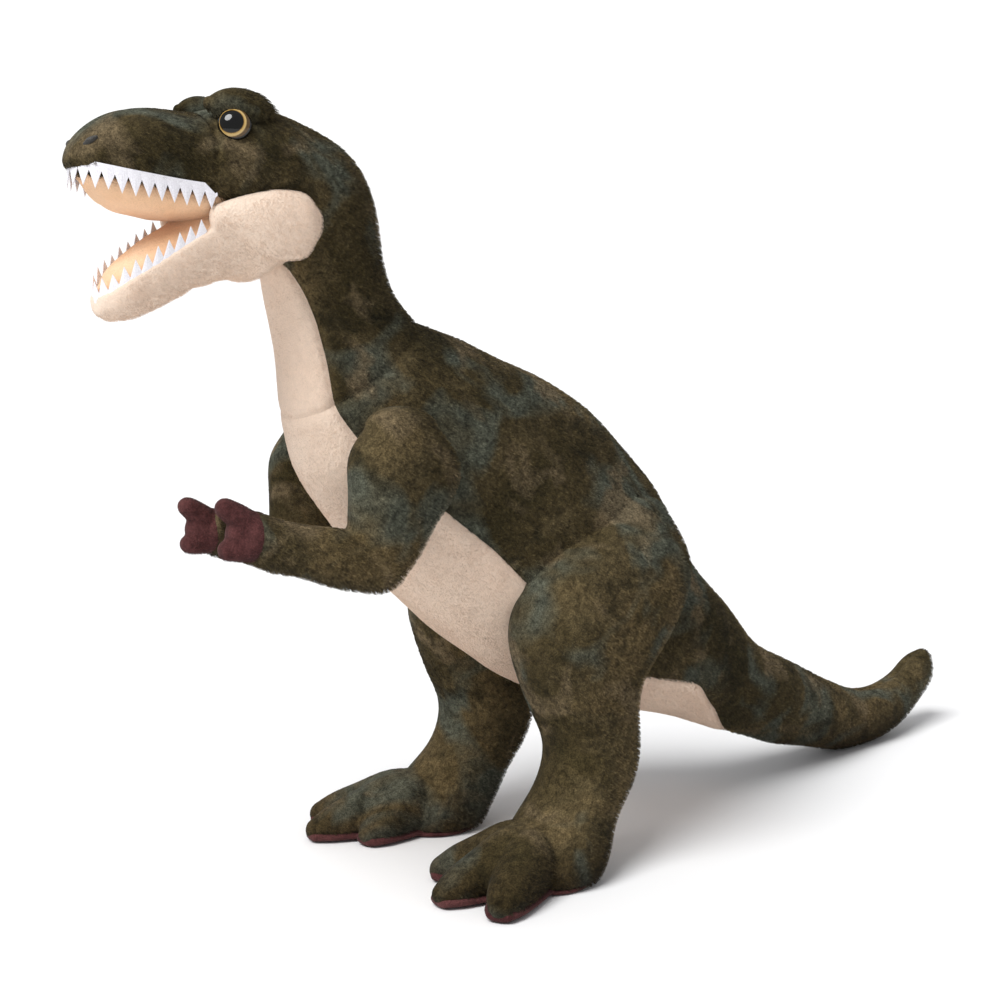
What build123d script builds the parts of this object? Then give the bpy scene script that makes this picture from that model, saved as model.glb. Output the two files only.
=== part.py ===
from build123d import *
import math
import os

os.makedirs("parts", exist_ok=True)

# ---------------------------------------------------------------- driving dimensions (mm)
SX, SY = 151.5, -0.5      # moves the toy so that its box is centred on the origin
SKIN = 2.2                # plush fabric with its pile
GAP = 0.5                 # clearance between separate pieces
FILL = 3.4                # how far the stuffing stays inside the outer surface
HEAD_HINGE = (71.0, 0.0, 362.0)
JAW_HINGE = (128.0, 0.0, 398.0)
TAIL_HINGE = (-214.0, -0.5, 104.5)

# stations: (x, y, z, half width, top vector x, top vector z, squareness of the lower half)
TORSO = [
    (56.5, 0, 314.0, 40.0, -40.5, 28.3, 2.0),
    (36.0, 0, 293.5, 52.0, -52.0, 37.0, 2.0),
    (4.0, 0, 268.0, 62.5, -60.0, 47.0, 2.0),
    (-37.0, 0, 236.5, 70.0, -64.0, 57.0, 2.0),
    (-76.0, 0, 203.5, 73.0, -64.0, 57.5, 2.0),
    (-118.0, 0, 165.0, 68.0, -57.0, 54.0, 2.0),
    (-160.0, 0, 132.0, 58.5, -45.5, 43.0, 2.0),
    (-202.0, -0.5, 110.0, 48.0, -35.0, 35.0, 2.0),
]
TAIL = [
    (-202.0, -0.5, 110.0, 48.0, -35.0, 35.0, 2.0),
    (-243.0, -2.0, 87.5, 39.0, -26.0, 29.5, 2.0),
    (-287.0, -7.0, 68.0, 33.0, -20.0, 26.5, 2.0),
    (-333.0, -14.0, 50.0, 28.5, -15.0, 24.5, 2.0),
    (-380.0, -22.0, 34.0, 25.0, -10.0, 22.5, 2.0),
    (-426.0, -30.0, 22.0, 22.0, -4.0, 21.6, 2.0),
    (-470.0, -36.0, 24.5, 19.0, 3.0, 17.5, 2.0),
    (-505.0, -41.0, 37.0, 15.5, 7.0, 13.5, 2.0),
    (-524.0, -44.0, 51.0, 11.0, 7.5, 8.0, 2.0),
    (-530.5, -45.0, 57.5, 5.0, 3.6, 3.6, 2.0),
]
NECK = [
    (57.0, 0, 315.0, 39.8, -40.3, 28.0, 2.0),
    (64.0, 0, 334.0, 36.5, -35.5, 21.0, 2.0),
    (70.0, 0, 354.0, 34.5, -33.0, 15.0, 2.0),
    (73.0, 0, 367.0, 34.3, -32.5, 13.0, 2.0),
]
HEAD = [
    (73.2, 0, 367.9, 34.3, -32.5, 13.0, 2.0),
    (77.0, 0, 388.0, 37.5, -32.0, 16.0, 2.0),
    (83.0, 0, 403.0, 41.0, -30.0, 21.0, 2.0),
    (93.0, 0, 416.0, 43.0, -24.5, 26.0, 2.1),
    (108.0, 0, 425.0, 43.0, -15.0, 29.5, 2.3),
    (125.0, 0, 430.5, 41.5, -8.0, 31.0, 2.6),
    (142.0, 0, 433.0, 38.0, -3.5, 28.5, 3.0),
    (156.0, 0, 433.0, 34.5, -2.0, 24.6, 3.8),
]
MUZZLE = [
    (156.6, 0, 433.0, 34.4, -2.0, 24.5, 3.8),
    (174.0, 0, 434.5, 31.2, -1.0, 22.7, 4.5),
    (191.0, 0, 436.0, 29.0, 0.0, 21.5, 4.5),
    (206.0, 0, 435.5, 25.0, 0.5, 18.0, 4.0),
    (217.0, 0, 433.0, 19.0, 1.0, 13.0, 3.0),
    (224.5, 0, 430.0, 11.5, 1.0, 7.0, 2.4),
    (228.0, 0, 428.5, 4.5, 0.5, 2.5, 2.0),
]
# lower jaw: half sections hung from the lip line (x, lip z, half width, depth, lining height)
JAW = [
    (128.5, 396.0, 37.5, 27.5, 1.5),
    (148.0, 396.0, 34.5, 29.5, 2.0),
    (163.0, 391.0, 31.0, 31.0, 4.0),
    (179.0, 381.0, 27.0, 27.5, 7.5),
    (196.0, 370.0, 22.0, 23.5, 7.0),
    (207.0, 362.0, 15.5, 16.0, 5.5),
    (213.5, 356.5, 7.5, 7.5, 3.0),
]
# palate cushion hung from the upper lip line (x, lip z, half width, depth)
PALATE = [
    (160.0, 409.8, 29.0, 4.5),
    (174.0, 411.6, 26.8, 11.0),
    (190.0, 414.2, 24.6, 13.5),
    (204.0, 416.6, 20.8, 12.0),
    (213.0, 419.0, 15.0, 8.0),
    (218.5, 421.5, 8.0, 4.0),
]
LEG = [
    (-112.0, 52.0, 224.0, 20.0, 34.0, 3.0, 2.0),
    (-104.0, 58.0, 206.0, 28.0, 50.0, 5.0, 2.0),
    (-95.0, 62.0, 187.0, 33.0, 60.0, 5.0, 2.0),
    (-84.0, 64.0, 165.0, 35.0, 61.0, 4.0, 2.0),
    (-73.0, 65.0, 143.0, 34.0, 52.5, 4.0, 2.0),
    (-69.0, 65.0, 123.0, 32.0, 41.0, 2.0, 2.0),
    (-72.5, 65.0, 102.0, 30.0, 34.5, 2.0, 2.0),
    (-78.0, 65.0, 80.0, 29.0, 30.5, 4.0, 2.0),
    (-74.0, 66.0, 60.0, 28.0, 28.0, 6.5, 2.0),
    (-64.0, 67.0, 45.0, 29.0, 26.5, 6.5, 2.0),
]
FOOT = [
    (-63.0, 67.2, 43.6, 29.2, 26.5, 6.5, 2.0),
    (-52.0, 68.5, 29.0, 33.0, 31.0, 6.0, 2.0),
    (-43.0, 69.5, 14.0, 36.0, 35.5, 3.0, 2.0),
    (-39.0, 70.0, 2.8, 33.5, 33.0, 0.0, 2.0),
]
LEFT_TOES = [(17.0, 28.0), (43.0, 70.0), (29.0, 112.0)]
RIGHT_TOES = [(18.0, 48.0), (42.0, 80.0), (20.0, 112.0)]
LEFT_HEEL = (-32.0, 70.0)
RIGHT_HEEL = (-36.0, 62.0)
RIGHT_LEG_SHIFT = (-6.0, -9.0, 0.0)
SOLE = 2.2
UNDER_PUSH, TAIL_PUSH = -0.8, -0.6
UPPER_ARM_LEFT = [
    (61.0, 64.0, 290.0, 9.0, 13.0, 0.0, 2.0),
    (61.5, 64.0, 281.0, 17.5, 27.0, 0.0, 2.0),
    (60.0, 64.0, 263.0, 21.0, 34.5, 3.0, 2.0),
    (63.0, 64.0, 246.0, 20.5, 32.5, 3.0, 2.0),
    (69.0, 63.0, 231.0, 19.5, 26.0, 3.0, 2.0),
    (73.5, 62.0, 215.0, 17.5, 20.5, 2.5, 2.0),
    (77.0, 61.0, 203.0, 14.5, 15.0, 2.0, 2.0),
    (79.0, 60.5, 196.5, 7.5, 8.0, 1.0, 2.0),
]
FORE_ARM_LEFT = [
    (70.0, 60.0, 204.0, 8.0, -2.0, 7.0, 2.0),
    (78.0, 60.0, 206.5, 14.0, -2.0, 13.5, 2.0),
    (93.0, 58.5, 211.5, 16.5, -1.0, 16.0, 2.0),
    (116.0, 55.0, 218.0, 15.5, -0.5, 14.2, 2.0),
    (135.0, 51.0, 223.5, 14.5, -0.5, 13.6, 2.0),
    (147.0, 48.5, 227.8, 14.0, -1.0, 14.0, 2.0),
]


# ---------------------------------------------------------------- shared section sketches
def station_plane(s, push=0.0):
    n = Vector(0, 1, 0).cross(Vector(s[4], 0, s[5])).normalized()
    return Plane(origin=Vector(s[0] + SX, s[1] + SY, s[2]) + n * push, x_dir=(0, 1, 0), z_dir=n)


def oval_point(s, grow, angle):
    h = math.hypot(s[4], s[5])
    c, d = math.cos(math.radians(angle)), math.sin(math.radians(angle))
    e = 2.0 / (s[6] if d < 0 else 2.0)
    return (
        (s[3] + grow) * math.copysign(abs(c) ** e, c),
        (h + grow) * math.copysign(abs(d) ** e, d),
    )


def oval(s, grow=0.0, push=0.0):
    """One closed oval section of a body tube."""
    with BuildSketch(station_plane(s, push)) as sk:
        with BuildLine():
            Spline(*[oval_point(s, grow, a) for a in range(0, 360, 20)], periodic=True)
        make_face()
    return sk.sketch


def skin(s, a0, a1, grow=0.0, push=0.0):
    """A strip of skin from angle a0 to a1 on one section."""
    n = 9
    angles = [a0 + (a1 - a0) * i / (n - 1) for i in range(n)]
    outer = [oval_point(s, grow, a) for a in angles]
    inner = [oval_point(s, grow - SKIN, a) for a in reversed(angles)]
    with BuildSketch(station_plane(s, push)) as sk:
        with BuildLine():
            Spline(*outer)
            Line(outer[-1], inner[0])
            Spline(*inner)
            Line(inner[-1], outer[0])
        make_face()
    return sk.sketch


def side_skin(s, beta, side, push=0.0):
    """The left or right skin between the top seam and the lower seam."""
    k = 0.35 / s[3] * 57.3
    if side > 0:
        return skin(s, -90 + beta + k, 90 - k, 0.0, push)
    return skin(s, 90 + k, 270 - beta - k, 0.0, push)


def mirrored(rows, shift=(0, 0, 0)):
    return [(r[0] + shift[0], -r[1] - shift[1], r[2] + shift[2]) + tuple(r[3:]) for r in rows]


def finish(name, part):
    """Keeps the main solid of a piece, labels it and writes its file."""
    solids = sorted(part.solids(), key=lambda q: q.volume)
    shape = solids[-1]
    shape.label = name
    export_step(shape, f"parts/{name}.step")
    print(name, len(solids), round(shape.volume / 1000, 2), "cm3")
    return shape


# ---------------------------------------------------------------- clearance forms used as cutters
with BuildPart() as torso_form:
    loft([oval(s, GAP) for s in TORSO])

with BuildPart() as head_form:
    loft([oval(s, GAP) for s in HEAD + MUZZLE[1:]])

# ---------------------------------------------------------------- torso
BELLY = [49, 50, 56, 60, 58, 55, 57]
TORSO_FILL = [4.2, 4.4, 4.4, 4.4, 4.4, 4.6, 5.4, 6.4]
for side, name in ((1, "torso_panel_left"), (-1, "torso_panel_right")):
    with BuildPart() as torso_panel:
        loft([side_skin(s, b, side) for s, b in zip(TORSO, BELLY + [74])])
    finish(name, torso_panel.part)

with BuildPart() as belly_panel:
    loft([skin(s, 270 - b + 0.3, 270 + b - 0.3) for s, b in zip(TORSO[:7], BELLY)])
finish("belly_panel", belly_panel.part)

with BuildPart() as torso_stuffing:
    loft([oval(s, -f) for s, f in zip(TORSO, TORSO_FILL)])
finish("torso_stuffing", torso_stuffing.part)

# ---------------------------------------------------------------- tail
under = [TORSO[6], (-181.0, -0.3, 119.8, 53.4, -40.0, 38.8, 2.0), TORSO[7], (-222.0, -1.0, 98.7, 43.4, -30.5, 32.2, 2.0),
         TAIL[1], (-264.0, -4.2, 77.8, 36.0, -23.0, 28.1, 2.0), TAIL[2]]
with BuildPart() as under_tail_panel:
    loft([skin(s, 270 - b, 270 + b, push=p) for s, b, p in zip(under, (53, 62.5, 70.5, 60.5, 43, 23, 7), (UNDER_PUSH, 0, 0, 0, 0, 0, 0))])
finish("under_tail_panel", under_tail_panel.part)

TAIL_BETA = [71.5, 43, 0, 0, 0, 0, 0, 0, 0, 0]
for side, name in ((1, "tail_panel_left"), (-1, "tail_panel_right")):
    rows = [TAIL[0], under[3], TAIL[1], under[5]] + TAIL[2:]
    betas = [73.0, 63.0, 45.5, 26.0, 11.0, 1.5, 0, 0, 0, 0, 0, 0]
    with BuildPart() as tail_panel:
        loft([side_skin(s, b, side, TAIL_PUSH if s is TAIL[0] else 0.0) for s, b in zip(rows, betas)])
    finish(name, tail_panel.part)

with BuildPart() as tail_stuffing:
    loft([oval(s, -FILL - 0.8) for s in [(-219.5, -0.8, 100.0, 43.0, -30.0, 31.5, 2.0)] + TAIL[1:9]])
finish("tail_stuffing", tail_stuffing.part)

# ---------------------------------------------------------------- neck
THROAT = [45, 49, 46, 40]
for side, name in ((1, "neck_panel_left"), (-1, "neck_panel_right")):
    with BuildPart() as neck_panel:
        loft([side_skin(s, b, side) for s, b in zip(NECK, THROAT)])
    finish(name, neck_panel.part)

with BuildPart() as throat_panel:
    loft([skin(s, 270 - b, 270 + b) for s, b in zip(NECK, THROAT)])
finish("throat_panel", throat_panel.part)

with BuildPart() as neck_stuffing:
    loft([oval(s, -FILL) for s in NECK[:2] + [(69.3, 0, 351.5, 34.6, -33.0, 15.4, 2.0)]])
finish("neck_stuffing", neck_stuffing.part)

# ---------------------------------------------------------------- eyes, seated through the head panels
EYE = {
    1: Plane(origin=(144.3 + SX, 29.5 + SY, 449.5), x_dir=(1, 0, 0), z_dir=(0.30, 0.82, 0.49)),
    -1: Plane(origin=(144.3 + SX, -29.5 + SY, 449.5), x_dir=(1, 0, 0), z_dir=(0.30, -0.82, 0.49)),
}
EYE_R, SHANK_R = 9.0, 2.0

# ---------------------------------------------------------------- head
HEAD_BETA = [40, 22, 4, 0, 0, 0, 0, 0]
for side, name in ((1, "head_panel_left"), (-1, "head_panel_right")):
    with BuildPart() as head_panel:
        loft([side_skin(s, b, side) for s, b in zip(HEAD, HEAD_BETA)])
        with BuildSketch(EYE[side].offset(-9)):
            Circle(SHANK_R + 0.5)
        extrude(amount=30, mode=Mode.SUBTRACT)
    finish(name, head_panel.part)

with BuildPart() as chin_gusset:
    loft([skin(s, 270 - b, 270 + b) for s, b in zip(HEAD[:3], (36, 18, 1.5))])
finish("chin_gusset", chin_gusset.part)

with BuildPart() as head_stuffing:
    loft([oval(s, -FILL) for s in [(75.0, 0, 374.6, 35.2, -32.4, 13.8, 2.0)] + HEAD[1:] + MUZZLE[1:5]])
    for side in (1, -1):
        with BuildSketch(EYE[side].offset(-9.5)):
            Circle(EYE_R - 0.5)
        extrude(amount=30, mode=Mode.SUBTRACT)
finish("head_stuffing", head_stuffing.part)

with BuildPart() as muzzle_cover:
    loft([skin(s, -44, 224) for s in MUZZLE])
finish("muzzle_cover", muzzle_cover.part)



for side, tag in ((1, "left"), (-1, "right")):
    pl = EYE[side]
    with BuildPart() as eye:
        with BuildSketch(pl.offset(1.2)):
            Circle(EYE_R)
        extrude(amount=1.2)
        with BuildSketch(pl.offset(2.4)):
            Circle(EYE_R)
        with BuildSketch(pl.offset(4.6)):
            Circle(EYE_R * 0.80)
        with BuildSketch(pl.offset(6.0)):
            Circle(EYE_R * 0.38)
        loft(ruled=True)
        with BuildSketch(pl.offset(-8.0)):
            Circle(SHANK_R)
        extrude(amount=9.6)
    finish(f"eye_{tag}", eye.part)

    with BuildPart() as eye_washer:
        with BuildSketch(pl.offset(-6.4)):
            Circle(7.2)
            Circle(SHANK_R + 0.15, mode=Mode.SUBTRACT)
        extrude(amount=1.4)
    finish(f"eye_washer_{tag}", eye_washer.part)

    with BuildPart() as brow:
        axis = Plane(origin=(113.0 + SX, side * 29.0 + SY, 456.5), x_dir=(0, 1, 0), z_dir=(0.93, -side * 0.16, 0.10))
        for d, r in ((0, 3.0), (5, 7.5), (14, 10.0), (25, 10.5), (35, 8.5), (42, 5.5), (45.5, 2.0)):
            with BuildSketch(axis.offset(d)):
                Circle(r)
        loft()
        add(head_form.part, mode=Mode.SUBTRACT)
        with BuildSketch(pl.offset(-4)):
            Circle(EYE_R + 0.6)
        extrude(amount=30, mode=Mode.SUBTRACT)
    finish(f"brow_{tag}", brow.part)

    with BuildPart() as cheek:
        for dx, w, h in ((-14.5, 3.0, 4.0), (-11, 6.0, 10.0), (-3, 8.5, 15.5), (6, 9.0, 18.0), (14, 8.0, 18.5)):
            with BuildSketch(Plane(origin=(112 + dx + SX, side * 38.5 + SY, 393 + dx * 0.0), x_dir=(0, 1, 0), z_dir=(1, 0, 0))):
                Ellipse(w, h)
        loft()
        add(head_form.part, mode=Mode.SUBTRACT)
    finish(f"cheek_{tag}", cheek.part)

    with BuildPart() as nostril:
        with BuildSketch(Plane(origin=(213 + SX, side * 17.5 + SY, 444), x_dir=(0.75, -side * 0.5, 0.25), z_dir=(0.5, side * 0.6, 0.6)).offset(-4)):
            Ellipse(4.2, 2.0)
        extrude(amount=9)
        add(head_form.part, mode=Mode.SUBTRACT)
        with BuildSketch(Plane(origin=(213 + SX, side * 17.5 + SY, 444), x_dir=(0.75, -side * 0.5, 0.25), z_dir=(0.5, side * 0.6, 0.6)).offset(1.6)):
            Circle(20)
        extrude(amount=20, mode=Mode.SUBTRACT)
    finish(f"nostril_{tag}", nostril.part)


# ---------------------------------------------------------------- felt tooth strips
def strip_plan(rows, inset):
    pts = [(x + SX, w - inset + SY) for x, w in rows]
    back = [(x + SX, -(w - inset) + SY) for x, w in reversed(rows)]
    tip = (rows[-1][0] + 4.0 - inset * 0.9 + SX, SY)
    return pts + [tip] + back


def tooth_strip(rows, lip, up, depth, height, pitch):
    """A felt band that follows the lip, one edge cut into triangles."""
    outer, inner = strip_plan(rows, 3.1), strip_plan(rows, 4.2)
    with BuildPart() as strip:
        with BuildSketch(Plane.XY.offset(330)):
            with BuildLine():
                Spline(*outer)
                Line(outer[-1], inner[-1])
                Spline(*reversed(inner))
                Line(inner[0], outer[0])
            make_face()
        extrude(amount=120)
        x0, x1 = lip[0][0], lip[-1][0] + 8

        def lip_z(x):
            for (xa, za), (xb, zb) in zip(lip, lip[1:]):
                if x <= xb:
                    return za + (zb - za) * (x - xa) / (xb - xa)
            (xa, za), (xb, zb) = lip[-2], lip[-1]
            return zb + (zb - za) * (x - xb) / (xb - xa)

        n = int((x1 - x0) / pitch)
        base = [(x0, lip_z(x0) - up * depth), (x1, lip_z(x1) - up * depth)]
        teeth = []
        for i in range(n, -1, -1):
            xa = x0 + i * pitch
            if i < n:
                teeth.append((xa + pitch / 2, lip_z(xa + pitch / 2) + up * height))
            teeth.append((xa, lip_z(xa) + up * 1.6))
        path = base + [(x1, lip_z(x1) + up * 1.6)] + teeth
        with BuildSketch(Plane(origin=(SX, 60, 0), x_dir=(1, 0, 0), z_dir=(0, -1, 0))):
            Polygon(*path, align=None)
        extrude(amount=120, mode=Mode.INTERSECT)
    return strip


def band_form(rows, wide):
    """The room that a tooth strip takes between a cover and its lining."""
    outer, inner = strip_plan(rows, 3.1 - wide), strip_plan(rows, 4.2 + wide)
    with BuildPart() as band:
        with BuildSketch(Plane.XY.offset(330)):
            with BuildLine():
                Spline(*outer)
                Line(outer[-1], inner[-1])
                Spline(*reversed(inner))
                Line(inner[0], outer[0])
            make_face()
        extrude(amount=120)
    return band


UPPER_BAND = [(162.0, 32.4), (176.0, 30.6), (191.0, 28.4), (205.0, 24.6), (215.0, 18.6)]
upper_tooth_strip = tooth_strip(
    UPPER_BAND,
    [(162.0, 410.4), (176.0, 412.2), (191.0, 414.6), (205.0, 417.4), (216.0, 420.4)], -1, 1.6, 8.5, 9.0)
finish("upper_tooth_strip", upper_tooth_strip.part)

lower_tooth_strip = tooth_strip(
    [(160.0, 31.6), (179.0, 27.0), (196.0, 22.0), (206.0, 16.2)],
    [(160.0, 392.0), (163.0, 391.0), (179.0, 381.0), (196.0, 370.0), (207.0, 362.0)], 1, 2.2, 8.5, 9.0)
finish("lower_tooth_strip", lower_tooth_strip.part)

# ---------------------------------------------------------------- palate
with BuildPart() as palate_lining:
    for x, z, w, d in PALATE:
        pts = [(w * math.cos(math.radians(a)), d * math.sin(math.radians(a)) * 1.0) for a in range(180, 361, 20)]
        with BuildSketch(Plane(origin=(x + SX, SY, z), x_dir=(0, 1, 0), z_dir=(1, 0, 0))):
            with BuildLine():
                Spline(*pts)
                Polyline(pts[-1], (w, 1.6), (-w, 1.6), pts[0])
            make_face()
    loft()
    add(band_form(UPPER_BAND, 0.5).part, mode=Mode.SUBTRACT)
finish("palate_lining", palate_lining.part)

# ---------------------------------------------------------------- lower jaw
LOWER_BAND = [(160.0, 31.6), (179.0, 27.0), (196.0, 22.0), (206.0, 16.2)]


def half_section(x, z, w, d, up):
    return [(w * math.cos(math.radians(a)), (d if not up else -d) * math.sin(math.radians(a))) for a in range(180, 361, 20)]


with BuildPart() as jaw_cover:
    for x, z, w, d, h in JAW:
        outer = half_section(x, z, w, d, False)
        inner = half_section(x, z, w - SKIN, max(d - SKIN, 2.0), False)[::-1]
        with BuildSketch(Plane(origin=(x + SX, SY, z), x_dir=(0, 1, 0), z_dir=(1, 0, 0))):
            with BuildLine():
                Spline(*outer)
                Line(outer[-1], inner[0])
                Spline(*inner)
                Line(inner[-1], outer[0])
            make_face()
    loft()
finish("jaw_cover", jaw_cover.part)

with BuildPart() as jaw_stuffing:
    for x, z, w, d, h in JAW[:-1]:
        pts = half_section(x, z, w - 6.4, d - 5.2, False)
        with BuildSketch(Plane(origin=(x + SX, SY, z - 0.9), x_dir=(0, 1, 0), z_dir=(1, 0, 0))):
            with BuildLine():
                Spline(*pts)
                Line(pts[-1], pts[0])
            make_face()
    loft()
    add(band_form(LOWER_BAND, 0.5).part, mode=Mode.SUBTRACT)
finish("jaw_stuffing", jaw_stuffing.part)

with BuildPart() as jaw_lining:
    for x, z, w, d, h in JAW[2:]:
        w2 = max(w - 4.6, 2.0)
        pts = [(w2 * math.cos(math.radians(a)), h * math.sin(math.radians(a))) for a in range(0, 181, 20)]
        with BuildSketch(Plane(origin=(x + SX, SY, z + 0.4), x_dir=(0, 1, 0), z_dir=(1, 0, 0))):
            with BuildLine():
                Spline(*pts)
                Polyline(pts[-1], (-w2, -0.8), (w2, -0.8), pts[0])
            make_face()
    loft()
    add(band_form(LOWER_BAND, 0.5).part, mode=Mode.SUBTRACT)
finish("jaw_lining", jaw_lining.part)

# ---------------------------------------------------------------- legs and feet
for side, tag in ((1, "left"), (-1, "right")):
    leg = LEG if side > 0 else mirrored(LEG, (-6.0, -9.0, 0.0))
    foot = FOOT if side > 0 else mirrored(FOOT, (-6.0, -9.0, 0.0))
    toes = LEFT_TOES if side > 0 else RIGHT_TOES
    heel = LEFT_HEEL if side > 0 else RIGHT_HEEL
    out0, out1 = (-88.5, 88.5) if side > 0 else (91.5, 268.5)
    in0, in1 = (91.5, 268.5) if side > 0 else (-88.5, 88.5)

    for part_name, a0, a1 in ((f"{tag}_leg_outer_panel", out0, out1), (f"{tag}_leg_inner_panel", in0, in1)):
        with BuildPart() as leg_panel:
            loft([skin(s, a0, a1) for s in leg])
            add(torso_form.part, mode=Mode.SUBTRACT)
        finish(part_name, leg_panel.part)

    with BuildPart() as leg_stuffing:
        loft([oval(s, -FILL - 2.2) for s in leg[1:]])
        add(torso_form.part, mode=Mode.SUBTRACT)
    finish(f"{tag}_leg_stuffing", leg_stuffing.part)

    def toe_planes(tip, inset):
        bx, by = heel[0], side * heel[1]
        dx, dy = tip[0] - bx, side * tip[1] - by
        length = math.hypot(dx, dy)
        ux, uy = dx / length, dy / length
        rows = []
        for f, w, h in ((0.10, 17.0, 17.0), (0.40, 18.0, 17.5), (0.66, 18.0, 16.0), (0.84, 15.5, 13.5), (0.95, 10.0, 9.5), (1.0, 4.0, 4.5)):
            rows.append((Plane(origin=(bx + ux * (length * f - inset) + SX, by + uy * (length * f - inset) + SY, 2.4 + max(h, 6.0)),
                               x_dir=(-uy, ux, 0), z_dir=(ux, uy, 0)), max(w - inset, 0.8), max(h - inset, 0.8)))
        return rows

    with BuildPart() as foot_top:
        loft([oval(s) for s in foot])
        for tip in toes:
            for pl, w, h in toe_planes(tip, 0.0):
                with BuildSketch(pl):
                    Ellipse(w, h)
            loft()
        with BuildSketch(Plane.XY.offset(SOLE + 0.4 - 30)):
            with Locations((SX, side * 70)):
                Rectangle(300, 200)
        extrude(amount=30, mode=Mode.SUBTRACT)
        # hollow for the weighted bag
        with BuildSketch(Plane.XY.offset(SOLE + 0.4)):
            with Locations((foot[3][0] + 2 + SX, foot[3][1] + SY)):
                Ellipse(27.0, 25.0)
        extrude(amount=22, mode=Mode.SUBTRACT)
    finish(f"{tag}_foot_top", foot_top.part)

    with BuildPart() as bean_bag:
        with BuildSketch(Plane.XY.offset(SOLE + 0.9)):
            with Locations((foot[3][0] + 2 + SX, foot[3][1] + SY)):
                Ellipse(26.0, 24.0)
        extrude(amount=20.5)
        fillet(bean_bag.edges(), 5.0)
    finish(f"{tag}_foot_bean_bag", bean_bag.part)

    with BuildPart() as sole:
        with BuildSketch(Plane.XY):
            with Locations((foot[3][0] + SX, foot[3][1] + SY)):
                Ellipse(33.5, 33.0)
            for tip in toes:
                bx, by = heel[0], side * heel[1]
                dx, dy = tip[0] - bx, side * tip[1] - by
                length = math.hypot(dx, dy)
                with Locations(Location((bx + dx * 0.53 + SX, by + dy * 0.53 + SY, 0), (0, 0, math.degrees(math.atan2(dy, dx))))):
                    Ellipse(length * 0.455, 15.0)
        extrude(amount=SOLE)
    finish(f"{tag}_foot_sole", sole.part)

# ---------------------------------------------------------------- arms, hung outside the shoulder plane
def both(name, part):
    """Writes the left piece and its mirror image, which is sewn on lower and further back."""
    finish(f"left_{name}", part)
    right = part.mirror(Plane.XZ.offset(-SY)).translate(RIGHT_ARM_SHIFT)
    finish(f"right_{name}", right)


SHOULDER_GAP = 5.0
RIGHT_ARM_SHIFT = (-31.0, -17.0, -13.0)
SHOULDER = {  # a point on the torso's side and the outward axis of the sewn shoulder
    1: ((57.5, 43.5, 267.5), (0.50, 0.86, -0.10)),
}
for side, tag, upper, fore in ((1, "left", UPPER_ARM_LEFT, FORE_ARM_LEFT),):
    tip = fore[-1]
    point, axis = SHOULDER[side]
    shoulder = Plane(origin=(point[0] + SX, point[1] + SY, point[2]), z_dir=axis)

    with BuildPart() as arm_form:
        loft([oval(s) for s in upper])
        loft([oval(s) for s in fore])
        with BuildSketch(shoulder.offset(SHOULDER_GAP - 100)):
            Circle(200)
        extrude(amount=100, mode=Mode.SUBTRACT)

    with BuildPart() as arm_core:
        loft([oval(s, -SKIN if s[3] > 9 else -SKIN * 0.6) for s in upper])
        loft([oval(s, -SKIN if s[3] > 9 else -SKIN * 0.6) for s in fore[:-1]] + [oval(tip, -SKIN, 1.0)])
        with BuildSketch(shoulder.offset(SHOULDER_GAP + SKIN - 100)):
            Circle(200)
        extrude(amount=100, mode=Mode.SUBTRACT)

    with BuildPart() as arm_stuffing:
        loft([oval(s, -FILL - 0.2 if s[3] > 9 else -FILL * 0.7) for s in upper])
        loft([oval(s, -FILL - 0.2 if s[3] > 9 else -FILL * 0.7) for s in fore])
        with BuildSketch(shoulder.offset(SHOULDER_GAP + FILL - 100)):
            Circle(200)
        extrude(amount=100, mode=Mode.SUBTRACT)

    # the two halves meet along the arm's outline seam
    along = Vector(tip[0] - upper[2][0], tip[1] - upper[2][1], 0).normalized()
    across = Vector(0, 0, 1).cross(along) * side
    seam = Plane(origin=(tip[0] + SX, tip[1] + SY, tip[2]), x_dir=along, z_dir=across)
    with BuildPart() as arm_outer_panel:
        add(arm_form.part)
        add(arm_core.part, mode=Mode.SUBTRACT)
        with BuildSketch(seam.offset(0.25 - 150)):
            Circle(300)
        extrude(amount=150, mode=Mode.SUBTRACT)
    both("arm_outer_panel", arm_outer_panel.part)
    with BuildPart() as arm_inner_panel:
        add(arm_form.part)
        add(arm_core.part, mode=Mode.SUBTRACT)
        with BuildSketch(seam.offset(-0.25)):
            Circle(300)
        extrude(amount=150, mode=Mode.SUBTRACT)
    both("arm_inner_panel", arm_inner_panel.part)
    both("arm_stuffing", arm_stuffing.part)

    # hand: a cuffed palm with two fingers
    wrist = station_plane(tip, 0.7)
    fx = wrist.z_dir
    with BuildPart() as hand:
        for d, w, h in ((0.0, 13.6, 14.0), (5.0, 12.0, 12.5), (10.0, 8.0, 8.5)):
            with BuildSketch(wrist.offset(d)):
                Ellipse(w, h)
        loft()
        for lift, length in ((0.34, 19.0), (-0.36, 18.0)):
            f = (fx + Vector(0, 0, 1) * lift).normalized()
            start = wrist.origin + Vector(0, 0, 1) * (lift * 16.0) + f * 1.0
            for d, w, h in ((0.0, 9.0, 6.5), (length * 0.45, 9.0, 7.2), (length * 0.8, 7.0, 5.8), (length, 2.5, 2.0)):
                with BuildSketch(Plane(origin=start + f * d, x_dir=(0, 1, 0), z_dir=f)):
                    Ellipse(w, h)
            loft()
        with BuildSketch(wrist.offset(-20)):
            Circle(60)
        extrude(amount=20, mode=Mode.SUBTRACT)
    both("hand", hand.part)
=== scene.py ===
import bpy, bmesh, math, random
import numpy as np
from mathutils import Vector, Matrix


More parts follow.
